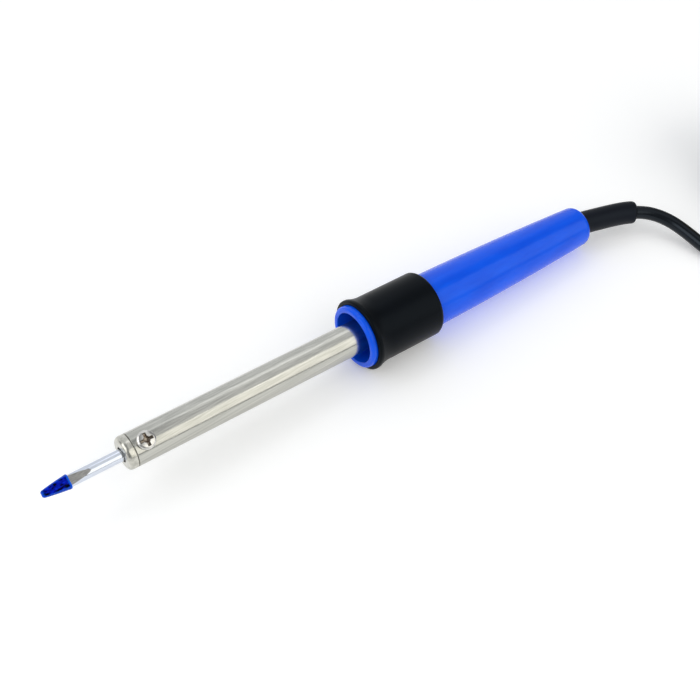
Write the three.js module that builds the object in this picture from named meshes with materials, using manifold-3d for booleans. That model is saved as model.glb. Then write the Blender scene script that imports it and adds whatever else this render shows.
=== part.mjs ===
// Pencil-type mains soldering iron with a slide-in bit, a rubber finger grip and a three-core flex.
// Millimetres, +Z up. The iron has its own axis: x = 0 at the handle's front rim, the bit towards -x
// and the flex towards +x. It is then laid down on its grip, which touches at the lip and the rear edge.

import * as THREE from 'three';
import { mergeVertices } from 'three/addons/utils/BufferGeometryUtils.js';
import Module from 'manifold-3d';

const manifold = await Module();
manifold.setup();

// ---- fits
const fitGap = 0.3; // between pieces that touch
const coatGap = 0.2; // between the bit and its dipped coat
const boreClearance = 0.55; // around the bit in the nose bush

// ---- bit and its protective coat
const bitRadius = 2.3;
const bitReach = 29.5; // from the nose's front to the end of the coat
const bitSocketDepth = 42; // how far the bit goes into the barrel
const flatLength = 17.7; // of the two ground faces, from the coat's end
const coatLength = 10;
const coatWall = 0.35;
const tipHalfWidth = 0.95;
const tipHalfThickness = 0.45;
const taperLength = 9; // over which the working end narrows

// ---- barrel and nose
const barrelRadius = 6.35;
const barrelWall = 0.6;
const noseReach = 98.5; // the nose's front, ahead of the handle's rim
const noseCapLength = 3.4;
const noseRound = 1.5;
const bushLength = 20.5;
const screwSetback = 8.1; // the bit screw's axis, behind the nose's front
const screwAngle = 32.3; // degrees that the bit screw leans from the top towards -y
const screwRadius = 2;
const screwHeadRadius = 3.4;
const screwHeadHeight = 2.1;
const recessReach = 2.35; // half the cross recess
const recessWidth = 0.95;
const recessDepth = 1.3;

// ---- heating element
const formerLength = 58;
const formerSetback = 22.5; // behind the nose's front
const windingTurns = 12;
const windingMargin = 4; // bare former at each end of the winding
const endDiscThickness = 2;
// shares of the room between the bit and the barrel
const formerShare = 0.295;
const wireShare = 0.105; // the resistance wire's radius
const micaShare = 0.145;

// ---- handle
const handleLength = 119.2;
const mouthGap = 3.95; // between the barrel and the handle's mouth
const mouthRadius = barrelRadius + mouthGap;
const mouthChamfer = 0.4;
const rimRadius = mouthRadius + 2.35;
const rimLength = 5;
const rimRound = 1.1;
const throatRadius = barrelRadius + 3.45;
const throatStart = 8;
const throatDepth = 36;
const seatRadius = throatRadius + 1.8; // under the grip
const seatTaper = 1; // where the seat falls to the waist under the grip's rear edge
const coreRadius = barrelRadius + 0.55; // of the long hollow behind the flange
const waistRadius = seatRadius - 0.62; // just behind the grip
const waistX = 37;
const rearRadius = coreRadius + 1.45;
const rearRound = 1.6;
const handleCrown = 0.42; // how far the handle's side bows out between waist and rear
const rearWall = 7.2;

// ---- grip
const gripStart = 2.2;
const gripEnd = 34.6;
const gripRadius = rimRadius + 0.7;
const lipRadius = gripRadius + 1.15;
const lipX = 3.4;
const gripRound = 2.2;
const gripTail = 2; // length of the grip's narrow rear lip

// ---- barrel flange and its screws
const flangeThickness = 1.2;
const flangeRadius = throatRadius - fitGap;
const collarWall = 0.4;
const collarLength = 4;
const flangeScrews = 3;
const flangePitch = barrelRadius + 1.95; // radius of the screw circle
const smallScrewRadius = 0.9;
const smallScrewHead = 1.05;
const smallHeadRadius = 1.1;
const screwSlot = 0.35; // width of the driver slots
const smallScrewLength = 7;

// ---- wiring
const blockWidth = 1.5 * coreRadius;
const blockHeight = 6;
const polePitch = 0.32 * blockWidth;
const poleBore = 1.2;
const poleWindow = 2.6; // square well over each pole's screw
const poleMargin = 2.2; // how far a conductor goes into its pole
// shares of the room between the throat's end and the boot
const blockStartShare = 0.274;
const blockShare = 0.219;
const sheathShare = 0.657; // where the outer sheath ends
const sleeveRadius = 0.85;
const coreWireRadius = 0.8;
const flexRadius = 2.85;
const clipWall = 1.2;
const clipLength = 6;

// ---- flex boot
const bootRadius = 4.85;
const bootFlange = coreRadius - 0.5;
const bootFlangeLength = 2.6;
const bootReach = 28.6; // visible length behind the handle
const bootTurn = 34; // degrees that the boot's end points away from the iron's axis

// ---- flex, hank and plug, which lie on the table
const flexRoute = [ // from the boot's mouth to the hank, as it lies for a 5.7 mm flex
  [136.2, -8.1, 8.8], [139.9, -10.7, 8.6], [142.9, -14.1, 8], [145.2, -18.1, 7.2],
  [146.7, -22.3, 6.3], [147.6, -26.8, 5.3], [148.1, -31.3, 4.5], [148.4, -36, 3.6],
  [148.9, -40.6, 3.1], [150.2, -45, 3], [152.4, -49.1, 3], [155.3, -52.6, 3],
  [158.8, -55.5, 3], [162.9, -57.7, 3], [167.3, -59.1, 3], [171.9, -59.5, 3],
  [176.5, -59.4, 3], [180.6, -59.1, 3], [184.6, -59, 3],
];
const hankLength = 114;
const hankLayers = 3;
const loopRadius = 18; // of the inner turns' centreline at the hank's ends
const tieOffset = 15; // from the hank's middle, towards its far end
const tieWidth = 9;
const tieWall = 1.2;
const tailRoute = [ // from the hank's far end to the plug; from the hank's middle, and above its top strand
  [48.5, 0, 0], [47.9, 4.5, 0.2], [46.2, 8.7, 0.7], [43.6, 12.3, 1.5],
  [40.1, 15.2, 2.5], [36, 17.1, 3.4], [31.6, 18, 4.4], [27.1, 18, 5.2],
  [22.8, 18, 5.7], [18.4, 18, 5.9],
];
const plugReach = 34.3; // from the end of the tail to the plug's middle
const plugWidth = 49;
const plugLength = 52;
const earthPinInset = 11; // the earth pin's centre from the plug's far edge
const plugThickness = 17;
const plugCorner = 11;
const plugGuardLength = 8;
const pinPitch = 22.2; // between live and neutral, and from them to earth
const pinLength = 17.7;
const earthPinLength = 22.7;
const fuseLength = 25.4;
const fuseRadius = 3.15;
const carrierWidth = 9.4;
const carrierLength = 30;
const carrierTop = 3;

// ---- smoothness
const broadSides = 40;
const barrelSides = 36;
const smallSides = 18;
const wireSides = 8;
const flexSides = 10;

// ---------------------------------------------------------------- shaping tools

const degrees = THREE.MathUtils.degToRad;

// a three.js geometry as one merged, position-only mesh, without the flat triangles at a lathe's poles
function plain(geometry) {
  const copy = geometry.clone();
  copy.deleteAttribute('normal');
  copy.deleteAttribute('uv');
  const merged = mergeVertices(copy, 1e-4);
  const corners = [];
  for (let i = 0; i < merged.index.count; i += 3) {
    const [a, b, c] = [0, 1, 2].map((k) => merged.index.getX(i + k));
    if (a !== b && b !== c && c !== a) corners.push(a, b, c);
  }
  return merged.setIndex(corners);
}

function toSolid(geometry) {
  const merged = plain(geometry);
  return new manifold.Manifold(new manifold.Mesh({
    numProp: 3,
    vertProperties: Float32Array.from(merged.attributes.position.array),
    triVerts: Uint32Array.from(merged.index.array),
  }));
}

function toGeometry(solid) {
  const mesh = solid.getMesh();
  const geometry = new THREE.BufferGeometry();
  geometry.setAttribute('position', new THREE.BufferAttribute(mesh.vertProperties, 3));
  geometry.setIndex(new THREE.BufferAttribute(mesh.triVerts, 1));
  geometry.computeVertexNormals();
  return geometry;
}

const cut = (body, ...tools) =>
  toGeometry(tools.reduce((rest, tool) => rest.subtract(toSolid(tool)), toSolid(body)));
const join = (body, ...more) =>
  toGeometry(more.reduce((whole, piece) => whole.add(toSolid(piece)), toSolid(body)));
const common = (one, other) => toGeometry(toSolid(one).intersect(toSolid(other)));

// a round body about the x axis from [x, radius] pairs, listed with the solid on their left
function turned(profile, sides) {
  const points = profile.map(([x, radius]) => new THREE.Vector2(radius, x));
  return new THREE.LatheGeometry(points, sides).rotateZ(-Math.PI / 2);
}

// a closed ring: the profile runs along the outside towards +x and comes back along the bore
const ring = (profile, sides) => turned([...profile, profile[0]], sides);

const tube = (start, end, outer, inner, sides) =>
  ring([[start, inner], [start, outer], [end, outer], [end, inner]], sides);
const rod = (start, end, radius, sides) =>
  turned([[start, 0], [start, radius], [end, radius], [end, 0]], sides);

// points of a quarter round from one direction to the next, in profile coordinates
function corner(centreX, centreR, radius, fromAngle, toAngle, steps) {
  return Array.from({ length: steps + 1 }, (_, i) => {
    const angle = degrees(fromAngle + ((toAngle - fromAngle) * i) / steps);
    return [centreX + radius * Math.cos(angle), centreR + radius * Math.sin(angle)];
  });
}

// an upright rod or tube turned to stand out of the iron's axis, at x and leaning by the screw angle
const standing = (geometry, x) =>
  geometry.rotateX(Math.PI / 2).rotateX(degrees(screwAngle)).translate(x, 0, 0);

const box = (sizes, centre) =>
  new THREE.BoxGeometry(...sizes).translate(...centre);

function circle(radius, sides) {
  const points = Array.from({ length: sides }, (_, i) => {
    const angle = (2 * Math.PI * i) / sides;
    return new THREE.Vector2(radius * Math.cos(angle), radius * Math.sin(angle));
  });
  return new THREE.Shape(points);
}

// a round section carried along a smooth curve through the points
function swept(points, radius, sides, steps) {
  const path = new THREE.CatmullRomCurve3(points.map((p) => new THREE.Vector3(...p)), false, 'centripetal');
  return new THREE.ExtrudeGeometry(circle(radius, sides), {
    steps, extrudePath: path, bevelEnabled: false,
  });
}

// ---------------------------------------------------------------- materials

const finish = (color, roughness, metalness = 0) =>
  new THREE.MeshStandardMaterial({ color, roughness, metalness });

const chrome = () => finish(0xd9dbe0, 0.15, 1);
const brushedNickel = () => finish(0xb9b5ac, 0.35, 1);
const zincSteel = () => finish(0xa8a9ab, 0.4, 1);
const brass = () => finish(0xc9a24f, 0.3, 1);
const bluePlastic = () => finish(0x1450e0, 0.35);
const blueWax = () => finish(0x0a2a9c, 0.25);
const blackRubber = () => finish(0x17181a, 0.75);
const blackPlastic = () => finish(0x101113, 0.4);
const ceramic = () => finish(0xe8e2d4, 0.7);
const mica = () => finish(0xb08f63, 0.5);

const iron = new THREE.Group();

function place(group, name, geometry, material) {
  const mesh = new THREE.Mesh(plain(geometry), material);
  mesh.name = name;
  group.add(mesh);
  return mesh;
}

// ---------------------------------------------------------------- bit, coat and nose

const noseX = -noseReach;
const coatEndX = noseX - bitReach;
const bitEndX = coatEndX + coatWall + coatGap;
const bitRearX = noseX + bitSocketDepth;
const bushBore = bitRadius + boreClearance;

// the bit's tapering end, ground on two sides, made larger all round by grow
function workingEnd(grow, frontX, rearX) {
  const body = turned([
    [frontX, 0],
    [frontX, tipHalfWidth + grow],
    [frontX + taperLength, bitRadius + grow],
    [rearX, bitRadius + grow],
    [rearX, 0],
  ], smallSides);
  const startX = coatEndX + flatLength;
  const farX = Math.max(rearX, startX) + 1;
  const wedge = new THREE.Shape([
    new THREE.Vector2(frontX - 1, -tipHalfThickness - grow),
    new THREE.Vector2(startX, -bitRadius - grow),
    new THREE.Vector2(farX, -bitRadius - grow - 1),
    new THREE.Vector2(farX, bitRadius + grow + 1),
    new THREE.Vector2(startX, bitRadius + grow),
    new THREE.Vector2(frontX - 1, tipHalfThickness + grow),
  ]);
  const depth = 4 * bitRadius;
  const slab = new THREE.ExtrudeGeometry(wedge, { depth, bevelEnabled: false })
    .translate(0, 0, -depth / 2).rotateX(Math.PI / 2);
  return common(body, slab).rotateX(degrees(screwAngle));
}

place(iron, 'bit_shank', workingEnd(0, bitEndX, bitRearX), chrome());
const coatRearX = coatEndX + coatLength;
place(iron, 'tip_coat', cut(
  workingEnd(coatGap + coatWall, coatEndX, coatRearX),
  workingEnd(coatGap, coatEndX + coatWall, coatRearX + 1),
), blueWax());

const screwX = noseX + screwSetback;
const tubeBore = barrelRadius - barrelWall;
const capEndX = noseX + noseCapLength;
const screwHole = (radius) => standing(
  new THREE.CylinderGeometry(radius, radius, 2 * barrelRadius, smallSides).translate(0, barrelRadius, 0),
  screwX,
);

place(iron, 'nose_bush', cut(ring([
  [noseX, bushBore],
  ...corner(noseX + noseRound, barrelRadius - noseRound, noseRound, 180, 90, 3),
  [capEndX, barrelRadius],
  [capEndX, tubeBore - fitGap],
  [noseX + bushLength, tubeBore - fitGap],
  [noseX + bushLength, bushBore],
], barrelSides), screwHole(screwRadius + fitGap)), brushedNickel());

const barrelRearX = throatDepth + 2;
place(iron, 'barrel_tube', cut(
  tube(capEndX + fitGap, barrelRearX, barrelRadius, tubeBore, barrelSides),
  screwHole(screwRadius + fitGap),
), brushedNickel());

const headBase = barrelRadius + fitGap;
const headTop = headBase + screwHeadHeight;
const screwEnd = bitRadius + fitGap;
const screwProfile = [
  [0, screwEnd],
  [screwRadius, screwEnd],
  [screwRadius, headBase],
  [screwHeadRadius, headBase],
  [screwHeadRadius, headBase + 0.55 * screwHeadHeight],
  [screwHeadRadius - 0.5, headTop - 0.2],
  [screwHeadRadius - 1.4, headTop],
  [0, headTop],
].map(([radius, height]) => new THREE.Vector2(radius, height));
const recessArm = (turn) => new THREE.BoxGeometry(2 * recessReach, 2 * recessDepth, recessWidth)
  .rotateY(degrees(turn)).translate(0, headTop, 0);
place(iron, 'bit_screw', standing(cut(
  new THREE.LatheGeometry(screwProfile, smallSides),
  recessArm(0),
  recessArm(90),
), screwX), zincSteel());

// ---------------------------------------------------------------- heating element

const formerBore = bitRadius + fitGap + 0.1;
const elementRoom = tubeBore - formerBore;
const windingWire = wireShare * elementRoom;
const micaWall = micaShare * elementRoom;
const formerRadius = formerBore + formerShare * elementRoom;
const formerX = noseX + formerSetback;
const formerEndX = formerX + formerLength;
const windingRadius = formerRadius + fitGap + windingWire;
const micaBore = windingRadius + windingWire + fitGap;

place(iron, 'heater_former', tube(formerX, formerEndX, formerRadius, formerBore, smallSides), ceramic());

class Helix extends THREE.Curve {
  getPoint(share, target = new THREE.Vector3()) {
    const angle = 2 * Math.PI * windingTurns * share;
    const x = formerX + windingMargin + (formerLength - 2 * windingMargin) * share;
    return target.set(x, windingRadius * Math.cos(angle), windingRadius * Math.sin(angle));
  }
}
place(iron, 'heater_winding', new THREE.ExtrudeGeometry(circle(windingWire, 5), {
  steps: windingTurns * 10, extrudePath: new Helix(), bevelEnabled: false,
}), zincSteel());
place(iron, 'mica_wrap', tube(formerX, formerEndX, micaBore + micaWall, micaBore, smallSides), mica());

const discX = formerEndX + fitGap;
const leadOffset = 0.59 * tubeBore;
const alongX = (radius, start, end, y, z, sides) =>
  new THREE.CylinderGeometry(radius, radius, end - start, sides)
    .rotateZ(Math.PI / 2).translate((start + end) / 2, y, z);
place(iron, 'heater_end_disc', cut(
  rod(discX, discX + endDiscThickness, tubeBore - 1.5 * fitGap, smallSides),
  alongX(sleeveRadius + fitGap, discX - 1, discX + endDiscThickness + 1, leadOffset, 0, wireSides),
  alongX(sleeveRadius + fitGap, discX - 1, discX + endDiscThickness + 1, -leadOffset, 0, wireSides),
), ceramic());

// ---------------------------------------------------------------- handle shell

const rearFaceX = handleLength;
const sideRadius = (x) => { // the visible side: a straight taper with a slight crown
  const share = (x - waistX) / (handleLength - waistX);
  return waistRadius + (rearRadius - waistRadius) * share + handleCrown * 4 * share * (1 - share);
};
const rearEdgeX = handleLength - rearRound;
const sideSteps = 7;
const sideStations = Array.from({ length: sideSteps + 1 }, (_, i) =>
  waistX + ((rearEdgeX - waistX) * i) / sideSteps);
const bootHole = bootRadius + fitGap;
const shellProfile = [
  [0, mouthRadius + mouthChamfer],
  [0, rimRadius - rimRound],
  ...corner(rimRound, rimRadius - rimRound, rimRound, 157.5, 90, 3),
  [rimLength, rimRadius],
  [rimLength, seatRadius],
  [gripEnd - gripTail - seatTaper, seatRadius],
  [gripEnd - gripTail, sideRadius(waistX)],
  ...sideStations.map((x) => [x, sideRadius(x)]),
  ...corner(rearEdgeX, sideRadius(rearEdgeX) - rearRound, rearRound, 67.5, 0, 3),
  [rearFaceX, bootHole],
  [rearFaceX - rearWall, bootHole],
  [rearFaceX - rearWall, coreRadius],
  [throatDepth, coreRadius],
  [throatDepth, throatRadius],
  [throatStart, throatRadius],
  [mouthChamfer, mouthRadius],
];
const screwPlaces = Array.from({ length: flangeScrews }, (_, i) => {
  const angle = degrees(90 + (360 * i) / flangeScrews);
  return [flangePitch * Math.cos(angle), flangePitch * Math.sin(angle)];
});
const flangeX = throatDepth - fitGap - flangeThickness;
const headX = flangeX - fitGap - smallScrewHead;
const screwTipX = headX + smallScrewHead + smallScrewLength;
const screwBores = (radius, start, end) =>
  screwPlaces.map(([y, z]) => alongX(radius, start, end, y, z, 12));
place(iron, 'handle_shell', cut(
  ring(shellProfile, broadSides),
  ...screwBores(smallScrewRadius + fitGap, throatDepth - 1, screwTipX + fitGap),
), bluePlastic());

// ---------------------------------------------------------------- finger grip

place(iron, 'grip_sleeve', ring([
  [gripStart, rimRadius + fitGap],
  [gripStart + 0.15, lipRadius - 0.9],
  [gripStart + 0.5, lipRadius - 0.3],
  [lipX, lipRadius],
  [lipX + 1.4, lipRadius - 0.15],
  [lipX + 3, lipRadius - 0.75],
  [lipX + 5, gripRadius + 0.08],
  [lipX + 9, gripRadius],
  ...corner(gripEnd - gripRound, gripRadius - gripRound, gripRound, 90, 22.5, 3),
  [gripEnd, gripRadius - gripRound - 0.6],
  [gripEnd, waistRadius + fitGap],
  [gripEnd - gripTail, waistRadius + fitGap],
  [gripEnd - gripTail - seatTaper - fitGap, seatRadius + fitGap],
  [rimLength + fitGap, seatRadius + fitGap],
  [rimLength + fitGap, rimRadius + fitGap],
], broadSides), blackRubber());

// ---------------------------------------------------------------- barrel flange

const collarBore = barrelRadius + fitGap;
const flangeRearX = flangeX + flangeThickness;
place(iron, 'barrel_flange', cut(ring([
  [flangeX - collarLength, collarBore],
  [flangeX - collarLength, collarBore + collarWall],
  [flangeX, collarBore + collarWall],
  [flangeX, flangeRadius],
  [flangeRearX, flangeRadius],
  [flangeRearX, collarBore],
], barrelSides), ...screwBores(smallScrewRadius + fitGap, flangeX - 1, flangeRearX + 1)), zincSteel());

screwPlaces.forEach(([y, z], i) => {
  const screw = turned([
    [headX, 0],
    [headX, 0.7 * smallHeadRadius],
    [headX + 0.3, smallHeadRadius],
    [headX + smallScrewHead, smallHeadRadius],
    [headX + smallScrewHead, smallScrewRadius],
    [screwTipX, smallScrewRadius],
    [screwTipX, 0],
  ], 12).translate(0, y, z);
  place(iron, `flange_screw_${i + 1}`, cut(
    screw,
    box([1, 3 * smallHeadRadius, screwSlot], [headX - 0.1, y, z]),
  ), zincSteel());
});

// ---------------------------------------------------------------- terminals and wiring

const bootStart = handleLength - rearWall - bootFlangeLength - fitGap;
const wiringRoom = bootStart - throatDepth;
const blockX = throatDepth + blockStartShare * wiringRoom;
const blockLength = blockShare * wiringRoom;
const flexStart = throatDepth + sheathShare * wiringRoom;
const blockEndX = blockX + blockLength;
const blockMiddle = blockX + blockLength / 2;
const poles = ['live', 'earth', 'neutral'].map((name, i) => ({ name, y: (1 - i) * polePitch }));
const poleWellZ = blockHeight / 2 + 0.2;
place(iron, 'terminal_block', cut(
  box([blockLength, blockWidth, blockHeight], [blockMiddle, 0, 0]),
  ...poles.map(({ y }) => alongX(poleBore, blockX - 1, blockEndX + 1, y, 0, 12)),
  ...poles.map(({ y }) => box([poleWindow, poleWindow, blockHeight], [blockMiddle, y, poleWellZ])),
), ceramic());
poles.forEach(({ name, y }) => {
  const screwFoot = poleBore - 0.1;
  const screwTop = blockHeight / 2 + 1.7;
  place(iron, `terminal_screw_${name}`, cut(
    new THREE.CylinderGeometry(1, 1, screwTop - screwFoot, 12).rotateX(Math.PI / 2)
      .translate(blockMiddle, y, (screwTop + screwFoot) / 2),
    box([2.4, screwSlot, 0.8], [blockMiddle, y, screwTop]),
  ), brass());
});

for (const [name, side] of [['live', 1], ['neutral', -1]]) {
  place(iron, `lead_sleeve_${name}`, swept([
    [discX + endDiscThickness + fitGap, side * leadOffset, 0],
    [discX + 14, side * leadOffset, 0],
    [throatDepth - 6, side * leadOffset, 0],
    [blockX - 6, side * polePitch, 0],
    [blockX + poleMargin, side * polePitch, 0],
  ], sleeveRadius, wireSides, 14), ceramic());
}

const lugX = barrelRearX + fitGap;
const lugLength = 7;
const linkX = lugX + lugLength + fitGap;
const linkRun = blockX + poleMargin - linkX;
place(iron, 'earth_lug', box([lugLength, 3, 0.8], [lugX + lugLength / 2, 0, tubeBore - 0.8]), zincSteel());
place(iron, 'earth_link', swept([
  [linkX, 0, tubeBore - 0.9],
  [linkX + 0.2 * linkRun, 0, tubeBore - 1.4],
  [linkX + 0.65 * linkRun, 0, 1],
  [linkX + 0.82 * linkRun, 0, 0],
  [linkX + linkRun, 0, 0],
], coreWireRadius, wireSides, 14), finish(0x3f9a3a, 0.5));

const coreColours = { live: 0x6b3f1e, earth: 0x3f9a3a, neutral: 0x2a5bc4 };
poles.forEach(({ name, y }) => {
  place(iron, `core_${name}`, swept([
    [blockEndX - poleMargin, y, 0],
    [blockEndX + 2, y, 0],
    [flexStart - 4, 0.55 * y, 0],
    [flexStart - fitGap, 0.55 * y, 0],
  ], coreWireRadius, wireSides, 8), finish(coreColours[name], 0.5));
});

// ---------------------------------------------------------------- boot and the flex inside it

// the boot leaves the handle straight, leans over at once and bends most at its end
const bootHeading = (share) => bootTurn * (0.42 * Math.min(1, share / 0.2) + 0.58 * share ** 5);
const bootLine = [[bootStart, 0, 0], [rearFaceX - 2, 0, 0]];
const bootSteps = 12;
let [bootX, bootY] = [rearFaceX, 0];
bootLine.push([bootX, bootY, 0]);
for (let i = 1; i <= bootSteps; i += 1) {
  const heading = degrees(bootHeading((i - 0.5) / bootSteps));
  bootX += (bootReach / bootSteps) * Math.cos(heading);
  bootY -= (bootReach / bootSteps) * Math.sin(heading);
  bootLine.push([bootX, bootY, 0]);
}
const bootBore = flexRadius + fitGap;
const [beforeX, beforeY] = bootLine.at(-2);
const pastMouth = [2 * bootX - beforeX, 2 * bootY - beforeY, 0];
place(iron, 'strain_relief_boot', cut(
  join(
    swept(bootLine, bootRadius, smallSides, 18),
    rod(bootStart, bootStart + bootFlangeLength, bootFlange, smallSides),
  ),
  swept([[bootStart - 1, 0, 0], ...bootLine, pastMouth], bootBore, 12, 20),
), blackRubber());
const tailLine = [[flexStart, 0, 0], [flexStart + 12, 0, 0], ...bootLine];
place(iron, 'flex_tail', swept(tailLine, flexRadius, flexSides, 26), blackPlastic());
place(iron, 'flex_clip', tube(
  bootStart - fitGap - clipLength, bootStart - fitGap, bootBore + clipWall, bootBore, smallSides,
), zincSteel());

// ---------------------------------------------------------------- lay the iron on the table

const object = new THREE.Group();
object.add(iron);
const tilt = Math.atan2(lipRadius - gripRadius, gripEnd - gripRound - lipX);
iron.rotation.y = tilt;
iron.updateMatrixWorld(true);
const extent = new THREE.Box3().setFromObject(iron, true);
iron.position.set(-(extent.min.x + extent.max.x) / 2, -(extent.min.y + extent.max.y) / 2, -extent.min.z);

// ---------------------------------------------------------------- flex, hank and tie

// the whole lead starts at the boot's mouth, and the run settles from its height to the table's
const lead = new THREE.Group();
object.add(lead);
const mouth = iron.localToWorld(new THREE.Vector3(bootX + fitGap, bootY, 0));
lead.position.set(mouth.x - flexRoute[0][0], mouth.y - flexRoute[0][1], 0);
const liftOff = 0.15; // of the flex's tube above what it lies on
const settled = 8; // the point from which the flex lies on the table
const runPoints = flexRoute.map(([x, y, z], i) => {
  const share = Math.min(1, i / settled);
  const atMouth = mouth.z - flexRoute[0][2];
  const onTable = flexRadius + liftOff - flexRoute.at(-1)[2];
  return [x, y, z + atMouth * (1 - share) + onTable * share];
});
place(lead, 'flex_run', swept(runPoints, flexRadius, flexSides, 40), blackPlastic());

const strandPitch = 2 * flexRadius;
const outerLoop = loopRadius + strandPitch;
const hankHeight = hankLayers * strandPitch + fitGap;
const hankHalfWidth = outerLoop + flexRadius;
const straight = hankLength / 2 - hankHalfWidth;
const [runEndX, runEndY] = flexRoute.at(-1);
const loopInset = Math.sqrt(hankHalfWidth ** 2 - (outerLoop - flexRadius) ** 2);
const hankCentre = [runEndX + fitGap + loopInset + straight, runEndY + outerLoop];
const hankShape = new THREE.Shape();
hankShape.absarc(straight, 0, hankHalfWidth, -Math.PI / 2, Math.PI / 2);
hankShape.absarc(-straight, 0, hankHalfWidth, Math.PI / 2, (3 * Math.PI) / 2);

// the tie goes under, over and round the hank, whose underside is lifted over it
const tieX = hankCentre[0] + tieOffset;
const tieHeight = hankHeight + 2 * tieWall + 0.1;
const groove = box(
  [tieWidth + 2 * fitGap, 4 * hankHalfWidth, 2 * (tieWall + fitGap)],
  [tieX, hankCentre[1], 0],
);
place(lead, 'flex_hank', cut(new THREE.ExtrudeGeometry(hankShape, {
  depth: hankHeight, bevelEnabled: false, curveSegments: 12,
}).translate(...hankCentre, 0), groove), blackPlastic());

// an upright outline with rounded corners, centred across and standing on z = bottom
function roundedOutline(Kind, halfWidth, bottom, top, radius) {
  const outline = new Kind();
  outline.absarc(halfWidth - radius, bottom + radius, radius, -Math.PI / 2, 0);
  outline.absarc(halfWidth - radius, top - radius, radius, 0, Math.PI / 2);
  outline.absarc(radius - halfWidth, top - radius, radius, Math.PI / 2, Math.PI);
  outline.absarc(radius - halfWidth, bottom + radius, radius, Math.PI, (3 * Math.PI) / 2);
  outline.closePath();
  return outline;
}

const tieInside = hankHalfWidth + fitGap;
const tieRound = 0.6;
const tieOutline = roundedOutline(THREE.Shape, tieInside + tieWall, 0, tieHeight, tieWall + tieRound);
tieOutline.holes.push(roundedOutline(THREE.Path, tieInside, tieWall, tieHeight - tieWall, tieRound));
const tieBand = new THREE.ExtrudeGeometry(tieOutline, {
  depth: tieWidth, bevelEnabled: false, curveSegments: 3,
}).rotateX(Math.PI / 2).rotateZ(Math.PI / 2).translate(tieX - tieWidth / 2, hankCentre[1], 0);
place(lead, 'hank_tie', tieBand, blackRubber());

const tailPoints = tailRoute.map(([x, y, z]) =>
  [hankCentre[0] + x, hankCentre[1] + y, hankHeight + flexRadius + liftOff + z]);
place(lead, 'flex_to_plug', swept(tailPoints, flexRadius, flexSides, 20), blackPlastic());

// ---------------------------------------------------------------- plug, on its back with the pins up

const [tailEndX, tailEndY, tailEndZ] = tailPoints.at(-1);
const plugBase = hankHeight + 0.4;
const plug = new THREE.Group();
plug.position.set(tailEndX - plugReach, tailEndY, plugBase);
lead.add(plug);

const earthX = earthPinInset - plugLength / 2;
const powerX = earthX + pinPitch;
const pins = [
  { name: 'live', x: powerX, y: pinPitch / 2, sizes: [4, 6.35], length: pinLength },
  { name: 'neutral', x: powerX, y: -pinPitch / 2, sizes: [4, 6.35], length: pinLength },
  { name: 'earth', x: earthX, y: 0, sizes: [8, 4], length: earthPinLength },
];
const pinRoot = 6; // how far a pin goes into the body
const carrierX = earthX + 6.7 + carrierLength / 2;
const carrierDepth = carrierTop + 2 * fuseRadius + 1.5;

const bevel = 1.5;
const plugOutline = new THREE.Shape();
const halfLength = plugLength / 2;
const halfWidth = plugWidth / 2;
plugOutline.absarc(halfLength - plugCorner, plugCorner - halfWidth, plugCorner, -Math.PI / 2, 0);
plugOutline.absarc(halfLength - plugCorner, halfWidth - plugCorner, plugCorner, 0, Math.PI / 2);
plugOutline.absarc(plugCorner - halfLength, halfWidth - plugCorner, plugCorner, Math.PI / 2, Math.PI);
plugOutline.absarc(plugCorner - halfLength, plugCorner - halfWidth, plugCorner, Math.PI, (3 * Math.PI) / 2);
const guardStart = halfLength - 4;
const guardEnd = halfLength + plugGuardLength;
const flexHeight = tailEndZ - plugBase;
place(plug, 'plug_body', cut(
  join(
    new THREE.ExtrudeGeometry(plugOutline, {
      depth: plugThickness - 2 * bevel, bevelEnabled: true, bevelThickness: bevel,
      bevelSize: bevel, bevelOffset: -bevel, bevelSegments: 2, curveSegments: 8,
    }).translate(0, 0, bevel),
    turned([
      [guardStart, 0],
      [guardStart, flexRadius + 3],
      [guardEnd - 1, flexRadius + 1.6],
      [guardEnd, flexRadius + 1],
      [guardEnd, 0],
    ], smallSides).translate(0, 0, flexHeight),
  ),
  box([carrierLength, carrierWidth, 2 * carrierDepth], [carrierX, 0, plugThickness]),
  ...pins.map(({ x, y, sizes }) => box(
    [sizes[0] + 2 * fitGap, sizes[1] + 2 * fitGap, 2 * (pinRoot + fitGap)],
    [x, y, plugThickness],
  )),
), blackPlastic());

const pinBevel = 0.7;
pins.forEach(({ name, x, y, sizes, length }) => {
  const pinOutline = new THREE.Shape([[-1, -1], [1, -1], [1, 1], [-1, 1]].map(([a, b]) =>
    new THREE.Vector2(a * (sizes[0] / 2 - pinBevel), b * (sizes[1] / 2 - pinBevel))));
  place(plug, `plug_pin_${name}`, new THREE.ExtrudeGeometry(pinOutline, {
    depth: length + pinRoot - 2 * pinBevel, bevelEnabled: true, bevelThickness: pinBevel,
    bevelSize: pinBevel, bevelSegments: 1,
  }).translate(x, y, plugThickness - pinRoot + pinBevel), brass());
});

// the carrier is a lid with a cheek at each end of the fuse
const cheek = 1.6;
const lidLength = carrierLength - 2 * fitGap;
const lidWidth = carrierWidth - 2 * fitGap;
const cheekHeight = carrierDepth - 1;
place(plug, 'fuse_carrier', join(
  box([lidLength, lidWidth, carrierTop], [carrierX, 0, plugThickness - carrierTop / 2]),
  ...[-1, 1].map((side) => box(
    [cheek, lidWidth, cheekHeight],
    [carrierX + (side * (lidLength - cheek)) / 2, 0, plugThickness - cheekHeight / 2],
  )),
), finish(0xa01c18, 0.4));
const fuseZ = plugThickness - carrierTop - fitGap - fuseRadius;
const fuseStart = carrierX - fuseLength / 2;
place(plug, 'fuse', alongX(fuseRadius, fuseStart, fuseStart + fuseLength, 0, fuseZ, 16), ceramic());

export default object;
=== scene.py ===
import math

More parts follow.
